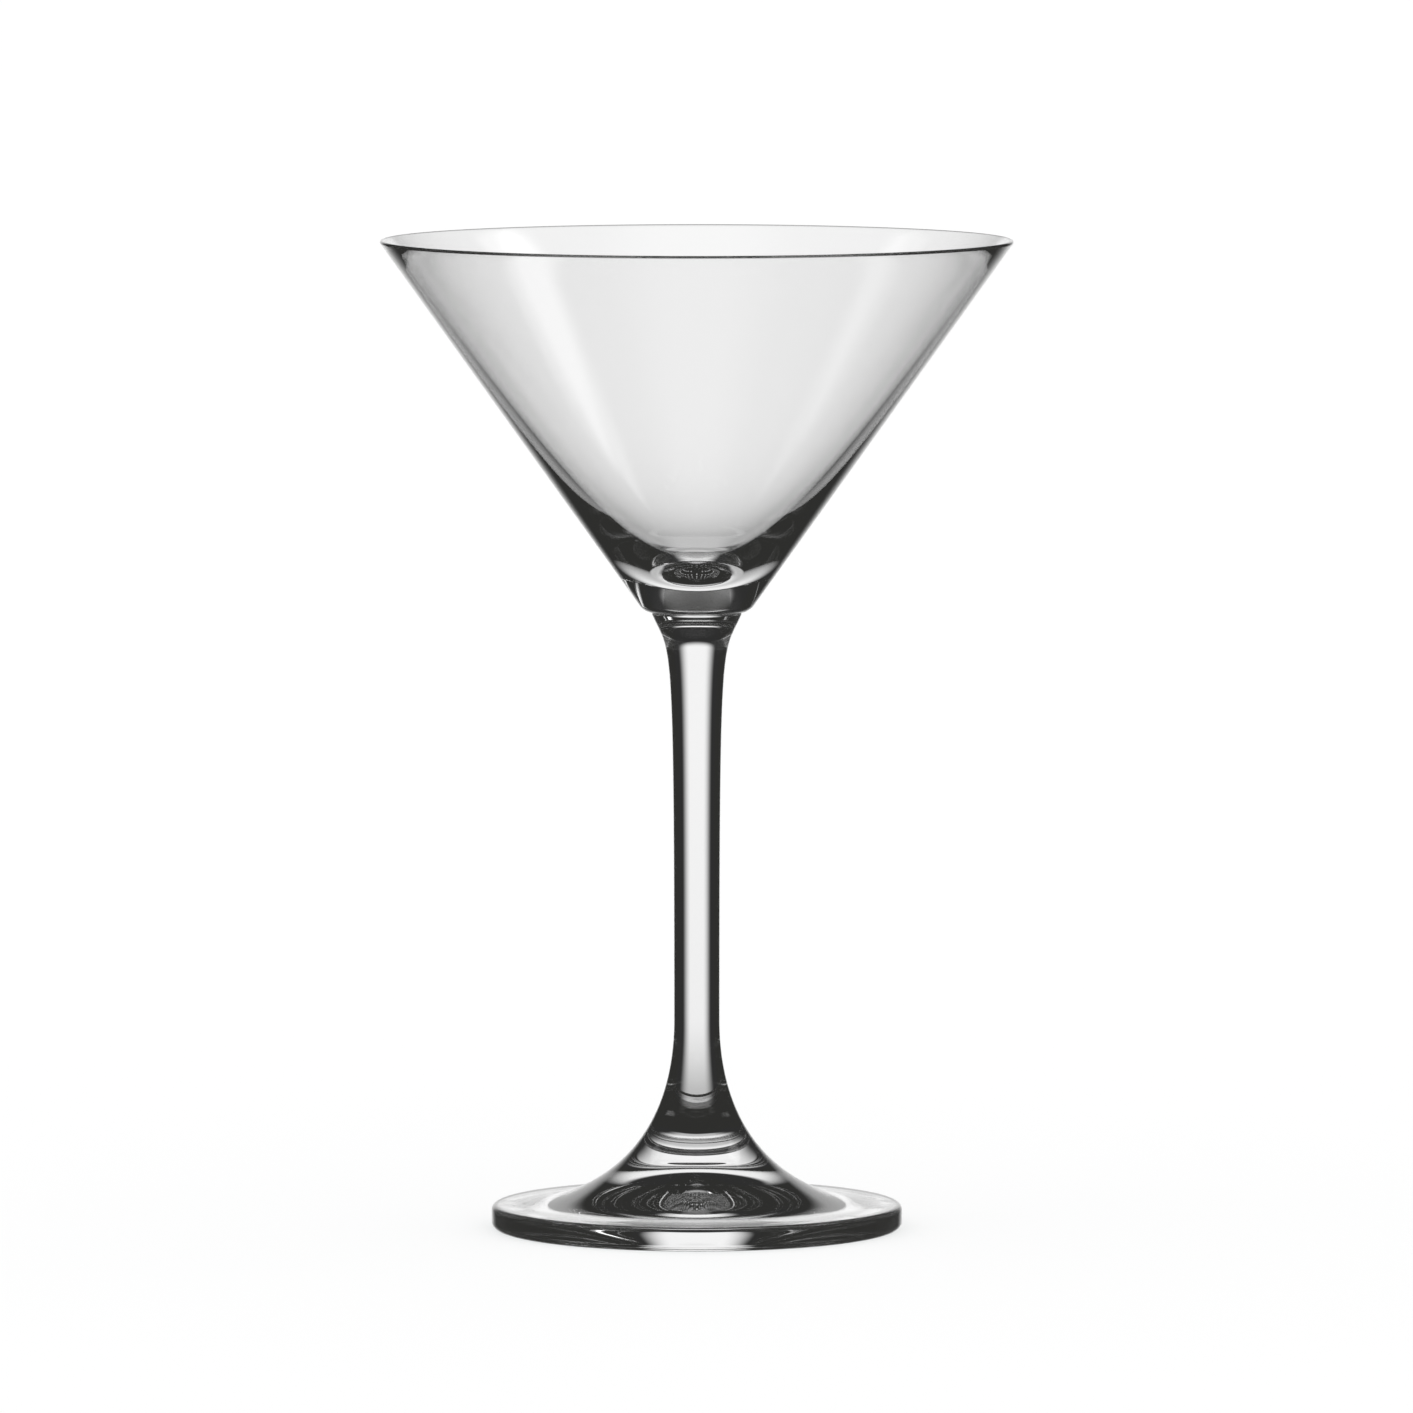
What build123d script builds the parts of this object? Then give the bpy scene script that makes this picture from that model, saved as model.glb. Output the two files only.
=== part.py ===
"""A stemmed martini glass: bowl, stem and foot, each a gather of clear glass, fused hot end to end.

Millimetres, +Z up. The origin is on the glass's axis, at the height of the surface it stands on.
Every piece is round about that axis, so each one is half an outline revolved through a full turn.
"""

import os
from math import asin, atan2, cos, hypot, pi, radians, sin, sqrt

from build123d import *

# Overall sizes
glass_height = 170.0  # from the table to the top of the rim
rim_diameter = 108.4  # outside
foot_diameter = 70.6
bowl_height = 63.9  # from the joint with the stem to the top of the rim

# Bowl
rim_thickness = 0.7  # also the diameter of the rounded rim
wall_taper = radians(1.75)  # how much faster the inside narrows than the outside, just below the rim
wall_reach = 50.0  # how far the inner wall's direction is held on the way down
bottom_reach = 12.0  # how far the level direction of the inside's bottom is held on the way out
base_thickness = 7.0  # solid glass below the lowest point of the inside
base_round = 3.0  # where the outer wall turns in to the joint

# Stem
shank_diameter = 7.8
collar_diameter = 15.4  # widest place, just below the bowl
collar_round = 0.3
neck_carry = 0.5  # the shank's straight direction is carried this near the collar's edge
neck_swell = 0.6  # how far the neck's second handle stands out from the shank
neck_drop = 7.4  # how far it lies below the collar's edge

# Flare, one curve from the shank to the foot's margin, which crosses the joint of stem and foot
flare_height = 36.0  # where the shank starts to open
flare_hold = 26.5  # how long the shank's direction is held on the way down
toe_hold = 8.0  # how long the margin's direction is held on the way in

# Foot
foot_joint_height = 17.5
foot_edge_height = 4.15
foot_margin = 2.8  # level ring around the top of the foot
edge_round_top = 1.0
edge_round_bottom = 1.2
ring_width = 4.0  # flat ring that the glass stands on
skirt_radius = 152.5  # shallow sphere just inside the standing ring
dome_radius = 22.0  # where the dome under the middle starts to rise out of that sphere
dome_hold = 12.0  # how far the sphere's direction is held on the way in
dome_reach = 6.0  # how far the level direction of the dome's top is held on the way out
dome_height = 6.0  # hollow under the foot, at its middle

# Places that follow from the sizes
bowl_joint_height = glass_height - bowl_height
shank_radius = shank_diameter / 2
collar_radius = collar_diameter / 2
seat_radius = collar_radius - collar_round
collar_edge_height = bowl_joint_height - collar_round
foot_radius = foot_diameter / 2
margin_end_radius = foot_radius - edge_round_top
margin_radius = margin_end_radius - foot_margin
edge_top_height = foot_edge_height - edge_round_top
ring_radius = foot_radius - edge_round_bottom
hollow_radius = ring_radius - ring_width
skirt_centre_height = -sqrt(skirt_radius**2 - hollow_radius**2)
dome_start_height = skirt_centre_height + sqrt(skirt_radius**2 - dome_radius**2)
dome_start_slope = asin(dome_radius / skirt_radius)


def on_circle(centre, radius, angle):
    """The point of a circle that lies in the given direction from its centre."""
    return (centre[0] + radius * cos(angle), centre[1] + radius * sin(angle))


def wall_normal(low_centre, low_radius, high_centre, high_radius):
    """Outward direction of the straight wall that touches two circles on their outer side."""
    across = high_centre[0] - low_centre[0]
    up = high_centre[1] - low_centre[1]
    lean = atan2(up, across) - asin((high_radius - low_radius) / hypot(across, up))
    return lean - pi / 2


def flare_handles():
    """Control points of the flare, from the foot's margin up to the shank."""
    return (
        (margin_radius, foot_edge_height),
        (margin_radius - toe_hold, foot_edge_height),
        (shank_radius, flare_height - flare_hold),
        (shank_radius, flare_height),
    )


# Bowl: a straight cone outside, a wall that thickens smoothly downwards, and a thick solid base
bead_radius = rim_thickness / 2
bead_centre = (rim_diameter / 2 - bead_radius, glass_height - bead_radius)
turn_centre = (seat_radius, bowl_joint_height + base_round)
bottom_height = bowl_joint_height + base_thickness
outer_normal = wall_normal(turn_centre, base_round, bead_centre, bead_radius)
inner_normal = outer_normal - wall_taper
outer_low = on_circle(turn_centre, base_round, outer_normal)
outer_high = on_circle(bead_centre, bead_radius, outer_normal)
inner_high = on_circle(bead_centre, -bead_radius, inner_normal)
inside_handles = (
    inner_high,
    on_circle(inner_high, wall_reach, inner_normal - pi / 2),
    (bottom_reach, bottom_height),
    (0, bottom_height),
)

with BuildPart() as bowl:
    with BuildSketch(Plane.XZ):
        with BuildLine():
            Line((0, bowl_joint_height), (seat_radius, bowl_joint_height))
            RadiusArc((seat_radius, bowl_joint_height), outer_low, -base_round)
            Line(outer_low, outer_high)
            ThreePointArc(outer_high, (bead_centre[0], glass_height), inner_high)
            Bezier(*inside_handles)
            Line((0, bottom_height), (0, bowl_joint_height))
        make_face()
    revolve(axis=Axis.Z)
bowl.part.label = "bowl"

# Stem: a flat seat under the bowl, a slender shank, and the top of the flare
with BuildPart() as stem:
    with BuildSketch(Plane.XZ):
        with BuildLine():
            Line((0, bowl_joint_height), (seat_radius, bowl_joint_height))
            RadiusArc(
                (seat_radius, bowl_joint_height), (collar_radius, collar_edge_height), collar_round
            )
            Bezier(
                (collar_radius, collar_edge_height),
                (shank_radius + neck_swell, collar_edge_height - neck_drop),
                (shank_radius, collar_edge_height - neck_carry),
                (shank_radius, flare_height),
            )
            Bezier(*flare_handles())
            Line((margin_radius, foot_edge_height), (0, foot_edge_height))
            Line((0, foot_edge_height), (0, bowl_joint_height))
        make_face()
    revolve(axis=Axis.Z)
    split(bisect_by=Plane.XY.offset(foot_joint_height), keep=Keep.TOP)
stem.part.label = "stem"

# Foot: the rest of the flare, a level margin, a thick rounded edge, and a domed hollow underneath
dome_start = (dome_radius, dome_start_height)
with BuildPart() as foot:
    with BuildSketch(Plane.XZ):
        with BuildLine():
            Bezier(*flare_handles())
            Line((margin_radius, foot_edge_height), (margin_end_radius, foot_edge_height))
            RadiusArc(
                (margin_end_radius, foot_edge_height), (foot_radius, edge_top_height), edge_round_top
            )
            Line((foot_radius, edge_top_height), (foot_radius, edge_round_bottom))
            RadiusArc((foot_radius, edge_round_bottom), (ring_radius, 0), edge_round_bottom)
            Line((ring_radius, 0), (hollow_radius, 0))
            RadiusArc((hollow_radius, 0), dome_start, -skirt_radius)
            Bezier(
                dome_start,
                on_circle(dome_start, dome_hold, pi - dome_start_slope),
                (dome_reach, dome_height),
                (0, dome_height),
            )
            Line((0, dome_height), (0, flare_height))
            Line((0, flare_height), (shank_radius, flare_height))
        make_face()
    revolve(axis=Axis.Z)
    split(bisect_by=Plane.XY.offset(foot_joint_height), keep=Keep.BOTTOM)
foot.part.label = "foot"

os.makedirs("parts", exist_ok=True)
export_step(bowl.part, "parts/bowl.step")
export_step(stem.part, "parts/stem.step")
export_step(foot.part, "parts/foot.step")
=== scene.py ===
"""Martini glass: three gathers of clear glass, fused hot, and lit from behind as glass is.

Metres, +Z up, with the glass standing at the origin. Every piece is an outline carried round the
axis. An outline is an array of (radius, height) rows that keeps the solid on its left.
"""

from math import asin, atan2, cos, hypot, pi, radians, sin, sqrt, tan

import bpy
import numpy as np
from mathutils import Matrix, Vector


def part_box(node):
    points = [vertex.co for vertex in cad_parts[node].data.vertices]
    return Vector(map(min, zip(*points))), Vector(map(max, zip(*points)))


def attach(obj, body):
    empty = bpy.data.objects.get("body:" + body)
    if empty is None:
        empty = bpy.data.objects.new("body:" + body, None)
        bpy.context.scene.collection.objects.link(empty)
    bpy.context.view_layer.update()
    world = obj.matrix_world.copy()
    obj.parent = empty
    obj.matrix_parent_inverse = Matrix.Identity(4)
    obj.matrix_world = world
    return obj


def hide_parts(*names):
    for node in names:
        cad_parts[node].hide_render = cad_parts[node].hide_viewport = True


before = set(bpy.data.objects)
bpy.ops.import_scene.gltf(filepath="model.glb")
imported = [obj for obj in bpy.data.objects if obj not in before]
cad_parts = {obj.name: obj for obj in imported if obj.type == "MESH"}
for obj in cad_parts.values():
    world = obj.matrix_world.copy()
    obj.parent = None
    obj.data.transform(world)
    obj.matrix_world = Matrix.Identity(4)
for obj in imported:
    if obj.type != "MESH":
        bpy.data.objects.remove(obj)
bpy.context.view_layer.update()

# ---------------------------------------------------------------- sizes
MM = 0.001
bowl_low, bowl_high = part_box("bowl")
foot_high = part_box("foot")[1]
rim_radius = bowl_high[0]
glass_height = bowl_high[2]
bowl_joint_height = bowl_low[2]
foot_joint_height = foot_high[2]
foot_radius = foot_high[0]

# Bowl
rim_thickness = 0.7 * MM
wall_taper = radians(1.75)
wall_reach = 50.0 * MM
bottom_reach = 12.0 * MM
base_thickness = 7.0 * MM
base_round = 3.0 * MM

# Stem
shank_radius = 3.9 * MM
collar_radius = 7.7 * MM
collar_round = 0.3 * MM
neck_carry = 0.5 * MM
neck_swell = 0.6 * MM
neck_drop = 7.4 * MM

# Flare
flare_height = 36.0 * MM
flare_hold = 26.5 * MM
toe_hold = 8.0 * MM

# Foot
foot_edge_height = 4.15 * MM
foot_margin = 2.8 * MM
edge_round_top = 1.0 * MM
edge_round_bottom = 1.2 * MM
ring_width = 4.0 * MM
skirt_radius = 152.5 * MM
dome_radius = 22.0 * MM
dome_hold = 12.0 * MM
dome_reach = 6.0 * MM
dome_height = 6.0 * MM

# Ripple where foot and stem are fused
seam_spread = 1.1 * MM
seam_pitch = 1.3 * MM
seam_depth = 0.010 * MM

# Places that follow from the sizes
seat_radius = collar_radius - collar_round
collar_edge_height = bowl_joint_height - collar_round
margin_end_radius = foot_radius - edge_round_top
margin_radius = margin_end_radius - foot_margin
edge_top_height = foot_edge_height - edge_round_top
ring_radius = foot_radius - edge_round_bottom
hollow_radius = ring_radius - ring_width

# Meshes
turns = 512  # faces round the axis
crease = radians(28)  # edges sharper than this stay sharp
hair = 1e-6


# ---------------------------------------------------------------- outlines
def straight(start, end, steps=3):
    """A line: the two ends mixed in even shares."""
    share = np.linspace(0, 1, steps)[:, None]
    return (1 - share) * np.array(start) + share * np.array(end)


def arc(centre, radius, start, end, steps=12):
    """A circle's arc: the centre plus the radius times the cosine and the sine of the angle."""
    angle = np.linspace(start, end, steps)
    across = centre[0] + radius * np.cos(angle)
    up = centre[1] + radius * np.sin(angle)
    return np.stack([across, up], axis=1)


def bezier(handles, steps=96):
    """A cubic Bezier: its four handles weighted by the terms of (share + rest) cubed."""
    share = np.linspace(0, 1, steps)[:, None]
    rest = 1 - share
    weights = (rest**3, 3 * rest**2 * share, 3 * rest * share**2, share**3)
    return sum(weight * np.array(handle) for weight, handle in zip(weights, handles))


def joined(*stretches):
    """One outline from several stretches, with each shared end kept once."""
    return np.concatenate([stretches[0]] + [stretch[1:] for stretch in stretches[1:]])


def wall_normal(low_centre, low_radius, high_centre, high_radius):
    """Outward direction of the straight wall that touches two circles on their outer side.

    It is the angle of the line through the centres, less the angle whose sine is the difference of
    the radii over the distance of the centres, less a quarter turn.
    """
    across = high_centre[0] - low_centre[0]
    up = high_centre[1] - low_centre[1]
    return atan2(up, across) - asin((high_radius - low_radius) / hypot(across, up)) - pi / 2


def bowl_outline():
    """Seat, base turn, straight cone, rounded rim, and an inside that runs into a round bottom."""
    bead = rim_thickness / 2
    bead_centre = (rim_radius - bead, glass_height - bead)
    turn_centre = (seat_radius, bowl_joint_height + base_round)
    bottom_height = bowl_joint_height + base_thickness
    outer = wall_normal(turn_centre, base_round, bead_centre, bead)
    inner = outer - wall_taper
    turn = arc(turn_centre, base_round, -pi / 2, outer, 20)
    rim = arc(bead_centre, bead, outer, inner + pi, 20)
    down_wall = (rim[-1][0] + wall_reach * sin(inner), rim[-1][1] - wall_reach * cos(inner))
    inside = bezier((rim[-1], down_wall, (bottom_reach, bottom_height), (0, bottom_height)))
    seat = straight((0, bowl_joint_height), (seat_radius, bowl_joint_height))
    return joined(seat, turn, straight(turn[-1], rim[0], 16), rim, inside)


def flare():
    """The curve from the foot's margin up to the shank, which foot and stem share."""
    return bezier((
        (margin_radius, foot_edge_height),
        (margin_radius - toe_hold, foot_edge_height),
        (shank_radius, flare_height - flare_hold),
        (shank_radius, flare_height),
    ), 120)


def flare_joint(curve):
    """The point where the flare crosses the joint of foot and stem."""
    return (float(np.interp(foot_joint_height, curve[:, 1], curve[:, 0])), foot_joint_height)


def stem_outline():
    """Joint face, top of the flare, shank, neck, collar and seat."""
    curve = flare()
    joint = flare_joint(curve)
    above = curve[curve[:, 1] > foot_joint_height]
    neck = bezier((
        (shank_radius, flare_height),
        (shank_radius, collar_edge_height - neck_carry),
        (shank_radius + neck_swell, collar_edge_height - neck_drop),
        (collar_radius, collar_edge_height),
    ), 90)
    collar = arc((seat_radius, collar_edge_height), collar_round, 0, pi / 2, 6)
    seat = straight((seat_radius, bowl_joint_height), (0, bowl_joint_height))
    face = straight((0, foot_joint_height), joint)
    return joined(face, np.vstack([joint, above]), neck, collar, seat)


def foot_outline():
    """Dome and shallow sphere below, standing ring, rounded edge, margin, flare and joint face."""
    curve = flare()
    joint = flare_joint(curve)
    below = curve[curve[:, 1] < foot_joint_height]
    skirt_centre = (0, -sqrt(skirt_radius**2 - hollow_radius**2))
    start_slope = asin(dome_radius / skirt_radius)
    end_slope = asin(hollow_radius / skirt_radius)
    dome_start = (dome_radius, skirt_centre[1] + sqrt(skirt_radius**2 - dome_radius**2))
    dome_handle = (
        dome_start[0] - dome_hold * cos(start_slope),
        dome_start[1] + dome_hold * sin(start_slope),
    )
    return joined(
        bezier(((0, dome_height), (dome_reach, dome_height), dome_handle, dome_start), 60),
        arc(skirt_centre, skirt_radius, pi / 2 - start_slope, pi / 2 - end_slope, 14),
        straight((hollow_radius, 0), (ring_radius, 0)),
        arc((ring_radius, edge_round_bottom), edge_round_bottom, -pi / 2, 0),
        arc((margin_end_radius, edge_top_height), edge_round_top, 0, pi / 2),
        straight((margin_end_radius, foot_edge_height), (margin_radius, foot_edge_height)),
        np.vstack([below, joint]),
        straight(joint, (0, foot_joint_height)),
    )


def seam_ripple(radius, height, angle):
    """How far the fused seam of foot and stem stands in or out of the flare.

    A short cosine wave along the height under a bell centred on the seam, whose depth and phase
    wander slowly round the axis. It is nought on the axis.
    """
    above = height - foot_joint_height
    bell = np.exp(-(above / seam_spread) ** 2) * (radius > shank_radius)
    depth = 0.6 + 0.4 * np.sin(3 * angle + 0.8) * np.sin(7 * angle)
    phase = 0.7 * np.sin(2 * angle + 1.1) + 0.5 * np.sin(5 * angle + 2.3)
    return seam_depth * bell * depth * np.cos(2 * pi * above / seam_pitch + phase)


def lathe(name, outline, joints, glass, fused):
    """Carries an outline round the axis.

    A row (radius, height) becomes a ring at radius times the cosine and the sine of each angle,
    and the two rows on the axis become poles. Faces at the height of a joint get the fused look.
    """
    def on_joint(heights):
        return np.isin(np.round(heights, 7), np.round(joints, 7))

    angle = np.arange(turns) * (2 * pi / turns)
    radius, height = outline[1:-1, 0, None], outline[1:-1, 1, None]
    flat = on_joint(height) & (radius < seat_radius - hair)
    across = radius + np.where(flat, 0, seam_ripple(radius, height, angle))
    level = np.repeat(height, turns, axis=1)
    rings = np.stack([across * np.cos(angle), across * np.sin(angle), level], axis=2)
    rings = rings.reshape(-1, 3)
    points = np.vstack([rings, (0, 0, outline[0, 1]), (0, 0, outline[-1, 1])])
    here = np.arange(turns)
    there = (here + 1) % turns
    row = np.arange(len(radius) - 1)[:, None] * turns
    following = row + turns
    sides = np.stack([row + here, row + there, following + there, following + here], axis=2)
    sides = sides.reshape(-1, 4)
    last = (len(radius) - 1) * turns
    first_pole, last_pole = len(rings), len(rings) + 1
    first_fan = np.stack([np.full(turns, first_pole), there, here], axis=1)
    last_fan = np.stack([last + here, last + there, np.full(turns, last_pole)], axis=1)
    groups = (sides, first_fan, last_fan)
    mesh = bpy.data.meshes.new(name)
    mesh.from_pydata(points.tolist(), [], [face for group in groups for face in group.tolist()])
    fused_faces = np.concatenate([np.all(on_joint(points[group, 2]), axis=1) for group in groups])
    mesh.materials.append(glass)
    mesh.materials.append(fused)
    mesh.polygons.foreach_set("material_index", fused_faces.astype(np.int32))
    mesh.shade_smooth()
    mesh.set_sharp_from_angle(angle=crease)
    mesh.update()
    piece = bpy.data.objects.new(name, mesh)
    bpy.context.scene.collection.objects.link(piece)
    return piece


# ---------------------------------------------------------------- shaders
glass_index = 1.52
shade_of_glass = (0.86, 0.87, 0.87, 1)  # colour of the light that reaches the table through it


class Wire:
    """A shader socket. Arithmetic on wires adds Math nodes."""

    def __init__(self, tree, socket=None):
        self.tree = tree
        self.socket = socket

    def node(self, kind, settings, values, *outputs):
        """Adds a node, makes its settings, then fills its sockets, and gives its outputs as wires.

        With no outputs named it gives the first one, if there is one.
        """
        made = self.tree.nodes.new("ShaderNode" + kind)
        for name, value in settings.items():
            setattr(made, name, value)
        for name, value in values.items():
            if isinstance(value, Wire):
                self.tree.links.new(value.socket, made.inputs[name])
            else:
                made.inputs[name].default_value = value
        wanted = outputs or range(min(1, len(made.outputs)))
        wires = [Wire(self.tree, made.outputs[name]) for name in wanted]
        return wires[0] if len(wires) == 1 else wires

    def maths(self, operation, first, second):
        return self.node("Math", {"operation": operation}, {0: first, 1: second})

    def __add__(self, other):
        return self.maths("ADD", self, other)

    def __radd__(self, other):
        return self.maths("ADD", other, self)

    def __sub__(self, other):
        return self.maths("SUBTRACT", self, other)

    def __rsub__(self, other):
        return self.maths("SUBTRACT", other, self)

    def __mul__(self, other):
        return self.maths("MULTIPLY", self, other)

    def __rmul__(self, other):
        return self.maths("MULTIPLY", other, self)

    def __abs__(self):
        return self.maths("ABSOLUTE", self, 0.0)

    def fade(self, full, end, rest=0.0):
        """1 where the value is under full, falling smoothly to rest at end."""
        limits = {"Value": self, "From Min": full, "From Max": end, "To Min": 1.0, "To Max": rest}
        return self.node("MapRange", {"interpolation_type": "SMOOTHSTEP"}, limits)


def shader(block):
    """An empty node tree, as the wire that the rest of the shader starts from."""
    block.use_nodes = True
    block.node_tree.nodes.clear()
    return Wire(block.node_tree)


def clear_glass(name, stretch, wave_scale, wave_height, worn_height=None):
    """Clear glass with faint waves, which lets light through to the table.

    stretch scales the waves along each axis. Below worn_height the glass is scuffed from standing.
    """
    material = bpy.data.materials.new(name)
    start = shader(material)
    place = start.node("TexCoord", {}, {}, "Object")
    drawn = start.node("Mapping", {}, {"Vector": place, "Scale": stretch})
    waves = start.node("TexNoise", {}, {"Vector": drawn, "Scale": wave_scale, "Detail": 1.0})
    wavy = start.node("Bump", {}, {"Strength": 1.0, "Distance": wave_height, "Height": waves})
    looks = {
        "Base Color": (1, 1, 1, 1),
        "Roughness": 0.0,
        "IOR": glass_index,
        "Transmission Weight": 1.0,
        "Normal": wavy,
    }
    if worn_height:
        height = start.node("SeparateXYZ", {}, {"Vector": place}, "Z")
        fine = {"Vector": place, "Scale": 900.0, "Detail": 4.0, "Roughness": 0.7}
        scuffs = start.node("TexNoise", {}, fine)
        patches = start.node("TexNoise", {}, {"Vector": place, "Scale": 120.0, "Detail": 2.0})
        worn = height.fade(worn_height * 0.2, worn_height) * (1 - patches.fade(0.38, 0.62))
        looks["Roughness"] = worn * (0.12 + 0.4 * scuffs)
    glass = start.node("BsdfPrincipled", {}, looks)
    shadow, bounce = start.node("LightPath", {}, {}, "Is Shadow Ray", "Is Diffuse Ray")
    passed = start.node("BsdfTransparent", {}, {"Color": shade_of_glass})
    for_table = start.maths("MAXIMUM", shadow, bounce)
    surface = start.node("MixShader", {}, {0: for_table, 1: glass, 2: passed})
    start.node("OutputMaterial", {}, {"Surface": surface})
    return material


def fused_joint():
    """Glass against glass: nothing shows where two gathers are fused."""
    material = bpy.data.materials.new("fused_joint")
    start = shader(material)
    start.node("OutputMaterial", {}, {"Surface": start.node("BsdfTransparent", {}, {})})
    return material


# ---------------------------------------------------------------- the glass
blown_glass = clear_glass("blown_clear_glass", (1, 1, 1), 30.0, 0.004 * MM)
drawn_glass = clear_glass("drawn_clear_glass", (1, 1, 0.03), 300.0, 0.0006 * MM)
pressed_glass = clear_glass("pressed_clear_glass", (1, 1, 1), 60.0, 0.004 * MM, 0.5 * MM)
fused = fused_joint()
pieces = (
    ("bowl", bowl_outline(), [bowl_joint_height], blown_glass),
    ("stem", stem_outline(), [bowl_joint_height, foot_joint_height], drawn_glass),
    ("foot", foot_outline(), [foot_joint_height], pressed_glass),
)
for node, outline, joints, glass in pieces:
    piece = lathe(node + "_glass", outline, joints, glass, fused)
    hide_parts(node)
    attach(piece, "root")

# ---------------------------------------------------------------- camera
camera = bpy.data.objects.new("camera", bpy.data.cameras.new("camera"))
bpy.context.scene.collection.objects.link(camera)
camera.location = (0, -2.40, 0.291)
aim = Vector((0.00166, 0, 0.0899))
half_view = radians(2.880)
camera.rotation_euler = (aim - camera.location).to_track_quat("-Z", "Y").to_euler()
camera.data.sensor_width = 36
camera.data.lens = camera.data.sensor_width / 2 / tan(half_view)
camera.data.clip_start = 0.1
camera.data.clip_end = 50
bpy.context.scene.camera = camera


# ---------------------------------------------------------------- studio
room_dark = 0.028  # what the glass sees where there is no panel
dark_tint = (1.0, 1.0, 0.94, 1)
room_white = 1.06  # what the camera and the table see
floor_reach = 40.0
middle_of_glass = (0, 0, 0.14)


def sheet(name, half_width, half_height, material):
    """A flat rectangle round the origin, facing up."""
    mesh = bpy.data.meshes.new(name)
    corners = [(side * half_width, end * half_height, 0)
               for side, end in ((-1, -1), (1, -1), (1, 1), (-1, 1))]
    mesh.from_pydata(corners, [], [(0, 1, 2, 3)])
    mesh.materials.append(material)
    made = bpy.data.objects.new(name, mesh)
    bpy.context.scene.collection.objects.link(made)
    return made


def panel(name, size, place, facing, strength, fades):
    """A softbox that only the glass sees. fades pairs a side with its fade, in the panel's metres.

    Its light is the strength times a fade for each side, on top of the dark of the room.
    """
    material = bpy.data.materials.new(name)
    start = shader(material)
    place_on_panel = start.node("TexCoord", {}, {}, "Object")
    across, up = start.node("SeparateXYZ", {}, {"Vector": place_on_panel}, "X", "Y")
    sides = {"width": abs(across), "height": abs(up), "top": up, "bottom": 0 - up}
    level = strength
    for side, limits in fades:
        level = level * sides[side].fade(*limits)
    glow = start.node("Emission", {}, {"Color": (1, 1, 1, 1), "Strength": room_dark + level})
    start.node("OutputMaterial", {}, {"Surface": glow})
    board = sheet(name, size[0] / 2, size[1] / 2, material)
    board.location = place
    board.rotation_euler = (Vector(facing) - Vector(place)).to_track_quat("Z", "Y").to_euler()
    board.visible_camera = False
    board.visible_diffuse = False
    board.visible_shadow = False
    return board


rig = [
    panel("backdrop", (1.4, 2.4), (0, 0.9, 0.10), (0, 0, 0.10), 0.95, [
        ("width", (0.16, 0.48)), ("top", (0.20, 0.35)),
        ("bottom", (0.05, 0.60, 0.55)), ("bottom", (0.90, 1.10)),
    ]),
    panel("right_softbox", (0.5, 0.5), (0.82, 0.17, 1.00), middle_of_glass, 1.6, [
        ("width", (0.10, 0.22)), ("height", (0.10, 0.24)),
    ]),
    panel("overhead", (1.0, 0.7), (0, -0.31, 1.02), middle_of_glass, 0.45, [
        ("width", (0.10, 0.50)), ("height", (0.10, 0.35)),
    ]),
    panel("left_softbox", (0.4, 0.4), (-0.84, 0.30, 0.94), middle_of_glass, 0.8, [
        ("width", (0.06, 0.18)), ("height", (0.08, 0.20)),
    ]),
]


def table():
    """A pale matt floor that the glass casts its faint shadow on, but doesn't show."""
    material = bpy.data.materials.new("pale_floor")
    start = shader(material)
    place = start.node("TexCoord", {}, {}, "Object")
    grain = start.node("TexNoise", {}, {"Vector": place, "Scale": 6.0})
    pale = {"Factor": grain, "A": (0.945, 0.945, 0.945, 1), "B": (0.955, 0.955, 0.955, 1)}
    paint = start.node("Mix", {"data_type": "RGBA"}, pale, "Result")
    matt = {"Base Color": paint, "Roughness": 1.0, "Specular IOR Level": 0.0}
    start.node("OutputMaterial", {}, {"Surface": start.node("BsdfPrincipled", {}, matt)})
    floor = sheet("floor", floor_reach, floor_reach, material)
    floor.visible_transmission = False
    floor.visible_glossy = False


def studio_room():
    """White to the camera and the table, and dark to the glass, which so gets its dark edges."""
    world = bpy.data.worlds.new("studio")
    bpy.context.scene.world = world
    start = shader(world)
    seen, bounce = start.node("LightPath", {}, {}, "Is Camera Ray", "Is Diffuse Ray")
    dark = start.node("Background", {}, {"Color": dark_tint, "Strength": room_dark})
    white = start.node("Background", {}, {"Color": (1, 1, 1, 1), "Strength": room_white})
    either = start.maths("MAXIMUM", seen, bounce)
    surroundings = start.node("MixShader", {}, {0: either, 1: dark, 2: white})
    start.node("OutputWorld", {}, {"Surface": surroundings})
    world.cycles.sampling_method = "NONE"


table()
studio_room()
bpy.context.view_layer.update()
for softbox in rig:
    softbox.parent = camera
    softbox.matrix_parent_inverse = camera.matrix_world.inverted()

scene = bpy.context.scene
scene.view_settings.view_transform = "Standard"
# The rim's wall guides light down through very many reflections
glass_bounces = 160
scene.cycles.max_bounces = glass_bounces
scene.cycles.transmission_bounces = glass_bounces
scene.cycles.glossy_bounces = glass_bounces
scene.cycles.transparent_max_bounces = 32
scene.cycles.sample_clamp_indirect = 0
